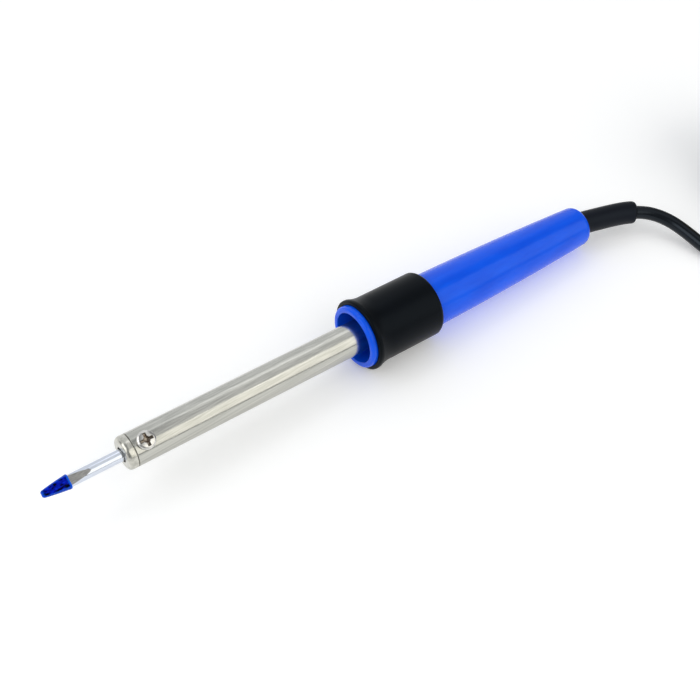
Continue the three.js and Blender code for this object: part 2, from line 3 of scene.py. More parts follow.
import bmesh
import bpy
import numpy as np
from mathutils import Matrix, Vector


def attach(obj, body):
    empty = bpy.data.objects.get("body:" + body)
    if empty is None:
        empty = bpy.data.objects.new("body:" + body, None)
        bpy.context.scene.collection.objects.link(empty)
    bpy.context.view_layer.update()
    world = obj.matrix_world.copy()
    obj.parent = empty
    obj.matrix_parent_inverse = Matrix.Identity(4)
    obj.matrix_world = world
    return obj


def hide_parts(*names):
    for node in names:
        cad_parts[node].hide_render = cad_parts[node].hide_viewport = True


# Pencil soldering iron lying on its rubber grip, with its flex folded in a tied hank beside the plug.
# The iron's own frame is in millimetres: x = 0 at the handle's front rim, the bit towards -x.

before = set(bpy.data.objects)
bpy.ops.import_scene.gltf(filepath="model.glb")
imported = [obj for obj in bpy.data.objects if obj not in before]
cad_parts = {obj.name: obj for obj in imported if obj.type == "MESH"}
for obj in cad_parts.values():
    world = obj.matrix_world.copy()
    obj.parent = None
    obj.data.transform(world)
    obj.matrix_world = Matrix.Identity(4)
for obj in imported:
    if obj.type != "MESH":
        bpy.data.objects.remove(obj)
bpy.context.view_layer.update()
print("frame loaded,", len(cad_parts), "CAD nodes")

mm = 0.001
ironPlace = {"x": -10.426, "z": 14.623, "lean": 2.2709}  # where the iron's own origin lies, and its lean
screwLean = math.radians(32.3)  # of the bit screw and the ground faces, from the top towards -y


viewFrom = {"place": (-0.1820, -0.2302, 0.3181), "target": (-0.0150, -0.0042, 0.0146), "lens": 56.57}
cameraData = bpy.data.cameras.new("camera")
cameraData.lens = viewFrom["lens"]
cameraData.sensor_width = 36
cameraData.clip_end = 10
camera = bpy.data.objects.new("camera", cameraData)
camera.location = viewFrom["place"]
lookAlong = Vector(viewFrom["target"]) - Vector(viewFrom["place"])
camera.rotation_mode = "QUATERNION"
camera.rotation_quaternion = lookAlong.to_track_quat("-Z", "Y")
bpy.context.collection.objects.link(camera)
bpy.context.scene.camera = camera
print("camera placed")


def onTable(points):
    # x and z turn by the iron's lean about y, then move to its place; millimetres become metres
    lean = math.radians(ironPlace["lean"])
    x = ironPlace["x"] + points[..., 0] * math.cos(lean) + points[..., 2] * math.sin(lean)
    z = ironPlace["z"] - points[..., 0] * math.sin(lean) + points[..., 2] * math.cos(lean)
    return np.stack([x, points[..., 1], z], -1) * mm


def aboutX(points, angle):
    # a turn about the x axis that takes +z towards -y
    y = points[..., 1] * math.cos(angle) - points[..., 2] * math.sin(angle)
    z = points[..., 1] * math.sin(angle) + points[..., 2] * math.cos(angle)
    return np.stack([points[..., 0], y, z], -1)


def makePiece(name, grids, material, body, replaced=(), sharp=35, marks=None):
    # each grid is rows x columns x 3 in metres, closed across its columns; quads join each row to the next
    points, faces, values, start = [], [], [], 0
    for count, grid in enumerate(grids):
        rows, columns = grid.shape[:2]
        index = start + np.arange(rows * columns).reshape(rows, columns)
        after = np.roll(index, -1, axis=1)
        quads = np.stack([index[:-1], after[:-1], after[1:], index[1:]], -1).reshape(-1, 4)
        points.append(grid.reshape(-1, 3))
        faces.append(quads)
        values.append(marks[count].ravel() if marks is not None else np.zeros(len(quads)))
        start += rows * columns
    mesh = bpy.data.meshes.new(name)
    mesh.from_pydata(np.concatenate(points).tolist(), [], np.concatenate(faces).tolist())
    mark = mesh.attributes.new("mark", "FLOAT", "FACE")
    mark.data.foreach_set("value", np.concatenate(values).astype(np.float32))
    tidyMesh(mesh, sharp)
    piece = bpy.data.objects.new(name, mesh)
    bpy.context.collection.objects.link(piece)
    mesh.materials.append(material)
    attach(piece, body)
    if replaced:
        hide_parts(*replaced)
    return piece


def tidyMesh(mesh, sharp):
    # poles and seams are merged, faces turned outwards, and edges sharper than the angle kept crisp
    work = bmesh.new()
    work.from_mesh(mesh)
    bmesh.ops.remove_doubles(work, verts=work.verts, dist=2e-7)
    bmesh.ops.dissolve_degenerate(work, edges=work.edges, dist=1e-7)
    bmesh.ops.recalc_face_normals(work, faces=work.faces)
    work.to_mesh(mesh)
    work.free()
    mesh.shade_smooth()
    mesh.set_sharp_from_angle(angle=math.radians(sharp))


def softened(corners, steps=5):
    # a profile of (x, radius, rounding): each rounded corner becomes a curve from one side to the other,
    # p = (1-t)^2 a + 2t(1-t) corner + t^2 b, with a and b at the rounding's distance along the two sides
    line = np.array([c[:2] for c in corners], float)
    out = []
    for i, (x, r, rounding) in enumerate(corners):
        if rounding <= 0 or i in (0, len(corners) - 1):
            out.append(line[i:i + 1])
            continue
        before, after = line[i - 1] - line[i], line[i + 1] - line[i]
        a = line[i] + before / np.linalg.norm(before) * rounding
        b = line[i] + after / np.linalg.norm(after) * rounding
        t = np.linspace(0, 1, steps + 1)[:, None]
        out.append((1 - t) ** 2 * a + 2 * t * (1 - t) * line[i] + t ** 2 * b)
    return np.concatenate(out)


def turnedGrid(profile, sides=120):
    # each profile point (x, r) goes round the iron's axis: (x, r cos a, r sin a)
    a = np.linspace(0, 2 * np.pi, sides, endpoint=False)
    x = np.repeat(profile[:, :1], sides, 1)
    return np.stack([x, profile[:, 1:] * np.cos(a), profile[:, 1:] * np.sin(a)], -1)


def ease(values, middle, width):
    # a cosine step from 0 to 1 over the width about the middle
    share = np.clip((values - middle) / width + 0.5, 0, 1)
    return 0.5 - 0.5 * np.cos(np.pi * share)


def hump(values, middle, half):
    # a cosine hump of height 1 that is gone at half to each side
    share = np.clip(np.abs(values - middle) / half, 0, 1)
    return 0.5 + 0.5 * np.cos(np.pi * share)


def linear(hexColour):
    # an sRGB hex value as linear light, from 0 to 1
    value = [int(hexColour[i:i + 2], 16) / 255 for i in (1, 3, 5)]
    return tuple(v / 12.92 if v <= 0.04045 else ((v + 0.055) / 1.055) ** 2.4 for v in value) + (1.0,)


def addNode(tree, kind, settings=None, links=None):
    # settings are the node's own properties, and stops a ramp's (place, hex colour or grey value) pairs;
    # links are its inputs, each a value or another node's output
    node = tree.nodes.new("ShaderNode" + kind)
    for key, value in (settings or {}).items():
        if key != "stops":
            setattr(node, key, value)
            continue
        while len(node.color_ramp.elements) < len(value):
            node.color_ramp.elements.new(0.5)
        for element, (place, colour) in zip(node.color_ramp.elements, value):
            element.position = place
            element.color = linear(colour) if isinstance(colour, str) else (colour, colour, colour, 1)
    for key, value in (links or {}).items():
        if isinstance(value, bpy.types.NodeSocket):
            tree.links.new(value, node.inputs[key])
        else:
            node.inputs[key].default_value = value
    return node.outputs[0] if node.outputs else node


def startMaterial(name):
    # an empty node tree, Object coordinates in metres, and the same turned so that x runs along the iron
    material = bpy.data.materials.new(name)
    material.use_nodes = True
    tree = material.node_tree
    tree.nodes.clear()
    place = tree.nodes.new("ShaderNodeTexCoord").outputs["Object"]
    lean = math.radians(ironPlace["lean"])
    along = addNode(tree, "Mapping", {}, {"Vector": place, "Rotation": (0, lean, 0)})
    return material, tree, place, along


def endMaterial(tree, values):
    # the shader with its values and linked patterns, and the output
    addNode(tree, "OutputMaterial", {}, {"Surface": addNode(tree, "BsdfPrincipled", {}, values)})


def drawnNickel():
    # nickel-plated steel tube, drawn and then brushed lengthwise: slightly warm grey, with long soft streaks
    material, tree, place, along = startMaterial("drawnNickel")
    lines = addNode(tree, "Mapping", {}, {"Vector": along, "Scale": (14, 1800, 1800)})  # 0.5 mm by 70 mm
    streaks = addNode(tree, "TexNoise", {}, {"Vector": lines, "Scale": 1.0, "Detail": 4.0})
    swells = addNode(tree, "Mapping", {}, {"Vector": along, "Scale": (60, 160, 160)})  # 6 mm by 16 mm
    clouds = addNode(tree, "TexNoise", {}, {"Vector": swells, "Scale": 1.0, "Detail": 2.0})
    tones = [(0.25, "#adada6"), (0.75, "#cbcac3")]
    endMaterial(tree, {
        "Metallic": 1.0,
        "Base Color": addNode(tree, "ValToRGB", {"stops": tones}, {"Fac": streaks}),
        "Roughness": addNode(tree, "ValToRGB", {"stops": [(0.3, 0.14), (0.7, 0.22)]}, {"Fac": clouds}),
        "Normal": addNode(tree, "Bump", {}, {"Height": streaks, "Distance": 0.004 * mm, "Strength": 0.5})})
    return material


def spunNickel():
    # the nose cap: the same plate on a surface turned in a lathe, a little dented, its bore surface coloured
    # a dark warm brown
    material, tree, place, along = startMaterial("spunNickel")
    bore = tree.nodes.new("ShaderNodeAttribute")
    bore.attribute_name = "mark"
    dents = addNode(tree, "TexNoise", {}, {"Vector": place, "Scale": 1 / (1.5 * mm), "Detail": 2.0})
    plainTone = addNode(tree, "ValToRGB", {"stops": [(0.3, "#b2b1a8"), (0.7, "#d6d4cb")]}, {"Fac": dents})
    endMaterial(tree, {
        "Metallic": 1.0, "Roughness": 0.24,
        "Base Color": addNode(tree, "MixRGB", {}, {
            "Fac": bore.outputs["Fac"], "Color1": plainTone, "Color2": linear("#2a2520")}),
        "Normal": addNode(tree, "Bump", {}, {"Height": dents, "Distance": 0.05 * mm, "Strength": 0.5})})
    return material


def platedBit():
    # chromed copper bit: a faintly blue mirror, and dull grey where the two faces are ground after plating
    material, tree, place, along = startMaterial("platedBit")
    ground = tree.nodes.new("ShaderNodeAttribute")
    ground.attribute_name = "mark"
    lines = addNode(tree, "Mapping", {}, {"Vector": along, "Scale": (500, 4000, 4000)})  # marks of 0.25 mm
    grit = addNode(tree, "TexNoise", {}, {"Vector": lines, "Scale": 1.0, "Detail": 5.0})
    dull = addNode(tree, "ValToRGB", {"stops": [(0.3, "#8a8a8a"), (0.7, "#bab8b5")]}, {"Fac": grit})
    bright = addNode(tree, "ValToRGB", {"stops": [(0.2, "#ccd2de"), (0.8, "#dfe4ee")]}, {"Fac": grit})
    onFace = ground.outputs["Fac"]
    relief = addNode(tree, "Math", {"operation": "MULTIPLY"}, {0: onFace, 1: grit})
    endMaterial(tree, {
        "Metallic": 1.0,
        "Base Color": addNode(tree, "MixRGB", {}, {"Fac": onFace, "Color1": bright, "Color2": dull}),
        "Roughness": addNode(tree, "MapRange", {}, {"Value": onFace, "To Min": 0.09, "To Max": 0.42}),
        "Normal": addNode(tree, "Bump", {}, {"Height": relief, "Distance": 0.03 * mm, "Strength": 0.7})})
    return material


def dippedWax():
    # a dipped translucent coat: deep blue with near-black mottles where it lies thick on the metal, and
    # a painted glow of brighter blue at its edges, standing for light that gets in through them
    material, tree, place, along = startMaterial("dippedWax")
    edge = tree.nodes.new("ShaderNodeAttribute")
    edge.attribute_name = "mark"
    stretched = addNode(tree, "Mapping", {}, {"Vector": along, "Scale": (700, 1200, 1200)})  # 1 mm mottles
    mottle = addNode(tree, "TexNoise", {}, {"Vector": stretched, "Scale": 1.0, "Detail": 4.0})
    deep = [(0.42, "#01031c"), (0.52, "#0212a0"), (0.72, "#0428d0")]
    body = addNode(tree, "ValToRGB", {"stops": deep}, {"Fac": mottle})
    endMaterial(tree, {
        "Roughness": 0.16, "IOR": 1.44, "Specular IOR Level": 0.14, "Subsurface Weight": 0.25,
        "Subsurface Radius": (0.0002, 0.0004, 0.0012), "Specular Tint": (0.55, 0.7, 1, 1),
        # the mark mixes in a painted glow, a brighter blue, at the coat's edges
        "Base Color": addNode(tree, "MixRGB", {}, {
            "Fac": edge.outputs["Fac"], "Color1": body, "Color2": linear("#0c62e8")}),
        "Normal": addNode(tree, "Bump", {}, {"Height": mottle, "Distance": 0.12 * mm, "Strength": 0.5})})
    return material


def platedScrew():
    # zinc-plated pressed screw: bright, and coloured a darker brown down in its cross recess
    material, tree, place, along = startMaterial("platedScrew")
    flecks = addNode(tree, "TexNoise", {}, {"Vector": place, "Scale": 1 / (0.8 * mm), "Detail": 4.0})
    recess = tree.nodes.new("ShaderNodeAttribute")
    recess.attribute_name = "mark"
    plainTone = addNode(tree, "ValToRGB", {"stops": [(0.3, "#c4c2be"), (0.7, "#e2e0dc")]}, {"Fac": flecks})
    recessTone = addNode(tree, "ValToRGB", {"stops": [(0.35, "#4a3a2c"), (0.65, "#a59c90")]}, {"Fac": flecks})
    endMaterial(tree, {
        "Metallic": 1.0, "Roughness": 0.22,
        "Base Color": addNode(tree, "MixRGB", {}, {
            "Fac": recess.outputs["Fac"], "Color1": plainTone, "Color2": recessTone}),
        "Normal": addNode(tree, "Bump", {}, {"Height": flecks, "Distance": 0.02 * mm, "Strength": 0.4})})
    return material


def mouldedBlue():
    # injection-moulded nylon, saturated blue and glossy, with the slight ripple of a moulded skin
    material, tree, place, along = startMaterial("mouldedBlue")
    slow = addNode(tree, "Mapping", {}, {"Vector": along, "Scale": (60, 260, 260)})  # 4 mm by 16 mm
    ripple = addNode(tree, "TexNoise", {}, {"Vector": slow, "Scale": 1.0, "Detail": 2.0})
    grain = addNode(tree, "TexNoise", {}, {"Vector": place, "Scale": 1 / (0.4 * mm), "Detail": 2.0})
    both = addNode(tree, "Math", {"operation": "MULTIPLY_ADD"}, {0: grain, 1: 0.12, 2: ripple})
    tones = [(0.3, "#0050e8"), (0.7, "#025af4")]
    endMaterial(tree, {
        "IOR": 1.53, "Specular IOR Level": 0.3, "Specular Tint": (0.6, 0.85, 1, 1),
        "Subsurface Weight": 0.05, "Subsurface Radius": (0.0002, 0.0004, 0.001),
        "Base Color": addNode(tree, "ValToRGB", {"stops": tones}, {"Fac": ripple}),
        "Roughness": addNode(tree, "ValToRGB", {"stops": [(0.3, 0.17), (0.7, 0.25)]}, {"Fac": grain}),
        "Normal": addNode(tree, "Bump", {}, {"Height": both, "Distance": 0.05 * mm, "Strength": 0.35})})
    return material


def mattRubber(name, dark, light, rough, grainSize, gloss):
    # moulded rubber: near black, with a fine matt grain, slightly uneven from handling
    material, tree, place, along = startMaterial(name)
    grain = addNode(tree, "TexNoise", {}, {"Vector": place, "Scale": 1 / (grainSize * mm), "Detail": 3.0})
    slow = addNode(tree, "Mapping", {}, {"Vector": along, "Scale": (40, 130, 130)})  # 8 mm by 25 mm
    patches = addNode(tree, "TexNoise", {}, {"Vector": slow, "Scale": 1.0, "Detail": 2.0})
    both = addNode(tree, "Math", {"operation": "MULTIPLY_ADD"}, {0: grain, 1: 0.5, 2: patches})
    endMaterial(tree, {
        "IOR": 1.5, "Roughness": rough, "Specular IOR Level": gloss, "Specular Tint": (0.66, 0.82, 1, 1),
        "Base Color": addNode(tree, "ValToRGB", {"stops": [(0.3, dark), (0.75, light)]}, {"Fac": patches}),
        "Normal": addNode(tree, "Bump", {}, {"Height": both, "Distance": 0.06 * mm, "Strength": 0.45})})
    return material


def extrudedSheath():
    # extruded PVC: black and glossy, faintly uneven over the twisted cores
    material, tree, place, along = startMaterial("extrudedSheath")
    waves = addNode(tree, "TexNoise", {}, {"Vector": place, "Scale": 1 / (5 * mm), "Detail": 2.0})
    tones = [(0.3, "#040507"), (0.7, "#090a0e")]
    endMaterial(tree, {
        "IOR": 1.53, "Specular IOR Level": 0.3, "Specular Tint": (0.7, 0.84, 1, 1),
        "Base Color": addNode(tree, "ValToRGB", {"stops": tones}, {"Fac": waves}),
        "Roughness": addNode(tree, "ValToRGB", {"stops": [(0.3, 0.18), (0.7, 0.26)]}, {"Fac": waves}),
        "Normal": addNode(tree, "Bump", {}, {"Height": waves, "Distance": 0.12 * mm, "Strength": 0.3})})
    return material


def grainyPlastic(name, dark, light, rough, grainSize=0.5, relief=0.02):
    # spark-eroded moulding, fired clay or woven sleeve: an even satin grain of its own size
    material, tree, place, along = startMaterial(name)
    grain = addNode(tree, "TexNoise", {}, {"Vector": place, "Scale": 1 / (grainSize * mm), "Detail": 3.0})
    endMaterial(tree, {
        "IOR": 1.5, "Roughness": rough,
        "Base Color": addNode(tree, "ValToRGB", {"stops": [(0.3, dark), (0.7, light)]}, {"Fac": grain}),
        "Normal": addNode(tree, "Bump", {}, {"Height": grain, "Distance": relief * mm, "Strength": 0.4})})
    return material


def workedMetal(name, dark, light, rough, grainSize=0.6):
    # turned, pressed or drawn metal with fine uneven plating
    material, tree, place, along = startMaterial(name)
    grain = addNode(tree, "TexNoise", {}, {"Vector": place, "Scale": 1 / (grainSize * mm), "Detail": 4.0})
    endMaterial(tree, {
        "Metallic": 1.0, "Roughness": rough,
        "Base Color": addNode(tree, "ValToRGB", {"stops": [(0.3, dark), (0.7, light)]}, {"Fac": grain}),
        "Normal": addNode(tree, "Bump", {}, {"Height": grain, "Distance": 0.01 * mm, "Strength": 0.3})})
    return material


def sleevedPin():
    # brass plug pin with a moulded black sleeve over the half next to the plug
    material, tree, place, along = startMaterial("sleevedPin")
    split = tree.nodes.new("ShaderNodeSeparateXYZ")
    tree.links.new(place, split.inputs["Vector"])
    sleeveTop = plugKnobs["sleeveTop"] * mm
    bare = addNode(tree, "Math", {"operation": "GREATER_THAN"}, {0: split.outputs["Z"], 1: sleeveTop})
    lines = addNode(tree, "Mapping", {}, {"Vector": place, "Scale": (300, 300, 3000)})  # 0.3 mm rings
    grain = addNode(tree, "TexNoise", {}, {"Vector": lines, "Scale": 1.0, "Detail": 3.0})
    brass = addNode(tree, "ValToRGB", {"stops": [(0.3, "#b98f3e"), (0.7, "#d9b566")]}, {"Fac": grain})
    sleeve = linear("#131315")
    endMaterial(tree, {
        "IOR": 1.5, "Metallic": bare,
        "Base Color": addNode(tree, "MixRGB", {}, {"Fac": bare, "Color1": sleeve, "Color2": brass}),
        "Roughness": addNode(tree, "MapRange", {}, {"Value": bare, "To Min": 0.4, "To Max": 0.24}),
        "Normal": addNode(tree, "Bump", {}, {"Height": grain, "Distance": 0.01 * mm, "Strength": 0.3})})
    return material


plugKnobs = {  # sizes in millimetres; the pins point up
    "width": 49, "length": 52, "thickness": 17, "corner": 11, "base": 17.8, "x": 215.93, "y": -17.1,
    "sleeveTop": 17.8 + 17 + 9.5, "entry": 8.5, "earthInset": 11, "pinRow": 22.2, "pinSide": 11.1}

nickel = drawnNickel()
noseNickel = spunNickel()
bitPlate = platedBit()
waxBlue = dippedWax()
screwPlate = platedScrew()
handleBlue = mouldedBlue()
gripRubber = mattRubber("gripRubber", "#020305", "#07090d", 0.36, 0.45, 0.1)
bootRubber = mattRubber("bootRubber", "#0b0c13", "#13151d", 0.42, 0.4, 0.16)
tieRubber = mattRubber("tieRubber", "#101113", "#1b1c1f", 0.6, 0.5, 0.4)
sheathBlack = extrudedSheath()
plugBlack = grainyPlastic("plugBlack", "#0c0c0e", "#161618", 0.36)
carrierRed = grainyPlastic("carrierRed", "#7c0f0c", "#9a1914", 0.34)
pinBrass = workedMetal("pinBrass", "#b98f3e", "#d9b566", 0.25)
pinSleeved = sleevedPin()
print("materials made")


bootKnobs = {"radius": 4.85, "bore": 3.05, "reach": 28.6, "turn": 34, "endRound": 2.1, "flange": 6.4,
             "start": 109.1, "rear": 119.2, "steps": 96}


def bootLine(count):
    # centre and heading along the boot: straight to the handle's rear, then the heading grows by
    # turn x (0.42 of a quick ramp over the first fifth + 0.58 of the share to the fifth power)
    share = (np.arange(count) + 0.5) / count
    heading = np.radians(bootKnobs["turn"]) * (0.42 * np.minimum(1, share / 0.2) + 0.58 * share ** 5)
    step = bootKnobs["reach"] / count
    x = bootKnobs["rear"] + np.concatenate([[0], np.cumsum(step * np.cos(heading))])
    y = -np.concatenate([[0], np.cumsum(step * np.sin(heading))])
    heads = np.concatenate([[0], 0.5 * (heading[1:] + heading[:-1]), heading[-1:]])
    return x, y, heads


flexKnobs = {
    "diameter": 5.7, "exitTurn": 34,  # degrees that the flex leaves the boot away from the iron's axis
    "route": [  # from the boot's mouth to the hank, metres
        (0.1362, -0.0081, 0.0088), (0.1399, -0.0107, 0.0086), (0.1429, -0.0141, 0.0080),
        (0.1452, -0.0181, 0.0072), (0.1467, -0.0223, 0.0063), (0.1476, -0.0268, 0.0053),
        (0.1481, -0.0313, 0.0045), (0.1484, -0.0360, 0.0036), (0.1489, -0.0406, 0.0031),
        (0.1502, -0.0450, 0.0030), (0.1524, -0.0491, 0.0030), (0.1553, -0.0526, 0.0030),
        (0.1588, -0.0555, 0.0030), (0.1629, -0.0577, 0.0030), (0.1673, -0.0591, 0.0030),
        (0.1719, -0.0595, 0.0030), (0.1765, -0.0594, 0.0030), (0.1806, -0.0591, 0.0030),
        (0.1846, -0.0590, 0.0030)],
    "hank": (0.23183, -0.0351),  # the hank's middle
    "hankLength": 114, "loop": 18, "turns": 5, "spacing": 4.2, "firstLayer": 2.95, "leadIn": 9,
    "stage": 29, "stagger": 7.5,  # each change of track takes 29 mm, and the next turn's comes earlier
    "tie": 15, "lift": 1.3, "liftReach": 20,  # where the tie is, and how it lifts the strands
    "climb": 20,  # of the last straight, over which the top strand rises to the tail
    "tail": [  # from the hank's middle, and above its top strand, metres
        (0.0479, 0.0045, 0.0002), (0.0462, 0.0087, 0.0007), (0.0436, 0.0123, 0.0015),
        (0.0401, 0.0152, 0.0025), (0.0360, 0.0171, 0.0034), (0.0316, 0.0180, 0.0044),
        (0.0271, 0.0180, 0.0052), (0.0228, 0.0180, 0.0057), (0.0184, 0.0180, 0.0059),
        (0.0140, 0.0180, 0.0059), (0.0100, 0.0180, 0.0059)],
    "topStrand": 0.0204}


def hankLine():
    # a racetrack of two straights and two half circles, walked five and a bit times: the distance walked
    # gives the place on the middle track, an offset across moves it to the outer or inner track, and steps
    # raise it from layer to layer
    pitch = flexKnobs["diameter"]
    middle = flexKnobs["loop"] + pitch / 2
    half = flexKnobs["hankLength"] / 2 - (flexKnobs["loop"] + 1.5 * pitch)
    arc = math.pi * middle
    lap = 4 * half + 2 * arc
    end = flexKnobs["turns"] * lap + 2 * half + arc / 2
    start = -flexKnobs["leadIn"]
    s = np.linspace(start, end, round((end - start) / flexKnobs["spacing"]))
    turns = np.arange(flexKnobs["turns"])
    stages = 3 * half + arc + turns * lap + (2 - turns) * flexKnobs["stagger"]
    a, b, c, d, e = [ease(s, middleOf, flexKnobs["stage"]) for middleOf in stages]
    across = pitch / 2 * (1 - 2 * a + 2 * c - 2 * e)
    z = flexKnobs["firstLayer"] + pitch * (b + d)
    climb = end - (half - flexKnobs["climb"]) - arc / 2
    lastRise = flexKnobs["topStrand"] / mm - flexKnobs["firstLayer"] - 2 * pitch
    z += lastRise * ease(s, (climb + end) / 2, end - climb)
    w = np.where(s < 0, s, np.mod(s, lap))
    radius = middle + across
    first, second = (w - 2 * half) / middle - np.pi / 2, (w - 4 * half - arc) / middle + np.pi / 2
    part = [w < 2 * half, w < 2 * half + arc, w < 4 * half + arc]
    x = np.select(part, [-half + w, half + radius * np.cos(first), 3 * half + arc - w],
                  -half + radius * np.cos(second))
    y = np.select(part, [-radius, radius * np.sin(first), radius], radius * np.sin(second))
    z += flexKnobs["lift"] * hump(x, flexKnobs["tie"], flexKnobs["liftReach"])
    middlePlace = np.array(flexKnobs["hank"])
    return np.column_stack([middlePlace[0] + x * mm, middlePlace[1] + y * mm, z * mm])


def flexPoints():
    # straight out of the boot, over the table, through the hank and into the plug
    route = np.array(flexKnobs["route"])
    turn = math.radians(flexKnobs["exitTurn"])
    heading = np.array([math.cos(turn), -math.sin(turn), -math.sin(math.radians(ironPlace["lean"]))])
    inside = route[0] - np.array([[8.0], [4.0]]) * mm * heading
    tail = np.array(flexKnobs["tail"]) + (*flexKnobs["hank"], flexKnobs["topStrand"])
    return np.concatenate([inside, route, hankLine(), tail])


flexLine = flexPoints()
flexCurve = bpy.data.curves.new("flex", "CURVE")
flexCurve.dimensions = "3D"
flexCurve.bevel_depth = flexKnobs["diameter"] / 2 * mm
flexCurve.bevel_resolution = 5
flexCurve.resolution_u = 3
flexCurve.use_fill_caps = True
spline = flexCurve.splines.new("NURBS")
spline.points.add(len(flexLine) - 1)
spline.points.foreach_set("co", np.column_stack([flexLine, np.ones(len(flexLine))]).ravel())
spline.order_u = 4
spline.use_endpoint_u = True
flexCurve.materials.append(sheathBlack)
flex = bpy.data.objects.new("flex", flexCurve)
bpy.context.collection.objects.link(flex)
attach(flex, "iron")
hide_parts("flex_run", "flex_hank", "flex_to_plug")


tieKnobs = {"width": 9, "wall": 1.2, "inside": 26.85, "height": 19.9, "squareness": 14}


def tieGrids():
    # a band seen along the hank as |across|^14 + |up|^14 = 1, a rectangle with round corners; the outline
    # is carried over the band's width, drawn in by the wall for its inside, and its edges are softened
    t = np.linspace(0, 2 * np.pi, 96, endpoint=False)
    power = tieKnobs["squareness"]
    wall, w = tieKnobs["wall"], tieKnobs["width"] / 2
    halfHeight = tieKnobs["height"] / 2
    around = [np.cos(t), np.sin(t)]
    scale = (np.abs(around[0]) ** power + np.abs(around[1]) ** power) ** (-1 / power)
    section = np.array([
        (-w + 0.4, 0), (w - 0.4, 0), (w - 0.12, 0.12), (w, 0.4), (w, wall - 0.4), (w - 0.12, wall - 0.12),
        (w - 0.4, wall), (-w + 0.4, wall), (-w + 0.12, wall - 0.12), (-w, wall - 0.4), (-w, 0.4),
        (-w + 0.12, 0.12), (-w + 0.4, 0)])
    inset = section[:, 1:]
    across = (tieKnobs["inside"] + wall - inset) * around[0] * scale
    up = (halfHeight - inset) * around[1] * scale
    along = np.repeat(section[:, :1], len(t), 1)
    middle = np.array([flexKnobs["hank"][0] / mm + flexKnobs["tie"], flexKnobs["hank"][1] / mm, halfHeight])
    return [(np.stack([along, across, up], -1) + middle) * mm]


tie = makePiece("tie", tieGrids(), tieRubber, "iron", ["hank_tie"], 40)


def roundedRect(halfX, halfY, corner, count=128):
    # a rectangle with quarter-circle corners, by equal steps of its outline's angle at each corner
    each = count // 4
    turn = np.linspace(0, np.pi / 2, each)
    rings = []
    for k, (sx, sy) in enumerate([(1, 1), (-1, 1), (-1, -1), (1, -1)]):
        a = turn + k * np.pi / 2
        rings.append(np.stack([sx * (halfX - corner) + corner * np.cos(a),
                               sy * (halfY - corner) + corner * np.sin(a)], -1))
    return np.concatenate(rings)


def plugGrids():
    # outlines stacked from the back to the pins' face: the back is rounded, and the sides draw in to a waist
    halfX, halfY = plugKnobs["length"] / 2, plugKnobs["width"] / 2
    h = plugKnobs["thickness"]
    levels = [  # height and inset
        (0.0, 12.0), (0.0, 4.5), (0.25, 2.6), (0.9, 1.3), (1.9, 0.5), (3.2, 0.12), (5.0, 0.0), (8.0, 0.25),
        (h - 5, 0.45), (h - 2.2, 0.12), (h - 1.2, 0.0), (h - 0.6, 0.12), (h - 0.2, 0.4), (h, 0.9)]
    rows = [np.zeros((128, 3))]
    for z, inset in levels:
        ring = roundedRect(halfX - inset, halfY - inset, max(plugKnobs["corner"] - inset, 2.0))
        rows.append(np.column_stack([ring, np.full(len(ring), z)]))
    rows.append(np.column_stack([ring * 0.97, np.full(len(ring), h)]))
    rows.append(np.column_stack([ring * 0, np.full(len(ring), h)]))
    return np.array(rows)


plugMiddle = np.array([plugKnobs["x"], plugKnobs["y"], plugKnobs["base"]])


def plugGuardGrid():
    # a short collar round the flex: its radius falls along it to a rounded mouth, with a bore for the flex
    profile = softened([
        (0, 0, 0), (0, 5.85, 0), (8.6, 4.9, 0), (12, 4.2, 1.2), (12, 3.0, 0.4), (5, 3.0, 0), (5, 0, 0)])
    grid = turnedGrid(profile, 48)
    start = plugKnobs["length"] / 2 - 4
    return grid + np.array([start, 0, plugKnobs["entry"]])


def pinGrid(sizeX, sizeY, length, sink=6.0, rounding=0.5):
    # a straight pin of rectangular section whose free end is rounded over
    base = plugKnobs["thickness"] - sink
    top = plugKnobs["thickness"] + length
    rows = []
    levels = [  # height and inset
        (base, 9), (base, 0), (top - 1.2, 0), (top - 0.7, 0.12), (top - 0.25, 0.45), (top, 0.95), (top, 9)]
    for z, inset in levels:
        hx, hy = max(sizeX / 2 - inset, 0), max(sizeY / 2 - inset, 0)
        ring = roundedRect(hx, hy, min(rounding, hx, hy) if min(hx, hy) > 0 else 0, 48)
        rows.append(np.column_stack([ring, np.full(len(ring), z)]))
    return np.array(rows)


earthAt = plugKnobs["earthInset"] - plugKnobs["length"] / 2
powerAt = earthAt + plugKnobs["pinRow"]
plug = makePiece("plug", [(g + plugMiddle) * mm for g in (plugGrids(), plugGuardGrid())],
                 plugBlack, "iron", ["plug_body"], 32)
for pinName, pinX, pinY, sizes, length, pinMaterial in [
        ("pinLive", powerAt, plugKnobs["pinSide"], (4, 6.35), 17.7, pinSleeved),
        ("pinNeutral", powerAt, -plugKnobs["pinSide"], (4, 6.35), 17.7, pinSleeved),
        ("pinEarth", earthAt, 0, (8, 4), 22.7, pinBrass)]:
    cadName = "plug_pin_" + pinName[3:].lower()
    makePiece(
        pinName, [(pinGrid(*sizes, length) + plugMiddle + (pinX, pinY, 0)) * mm],
        pinMaterial, "iron", [cadName], 40)
print("plug made")


bitKnobs = {  # millimetres, along the iron's axis from the coat's end
    "end": -128.0, "radius": 2.3, "tip": (0.95, 0.45), "taper": 9.0, "flat": 17.7,
    "coat": 10, "coatWall": 0.35, "coatGap": 0.2, "coatSkin": 0.16, "belly": 0.12, "lip": 0.05, "rear": -56.5}


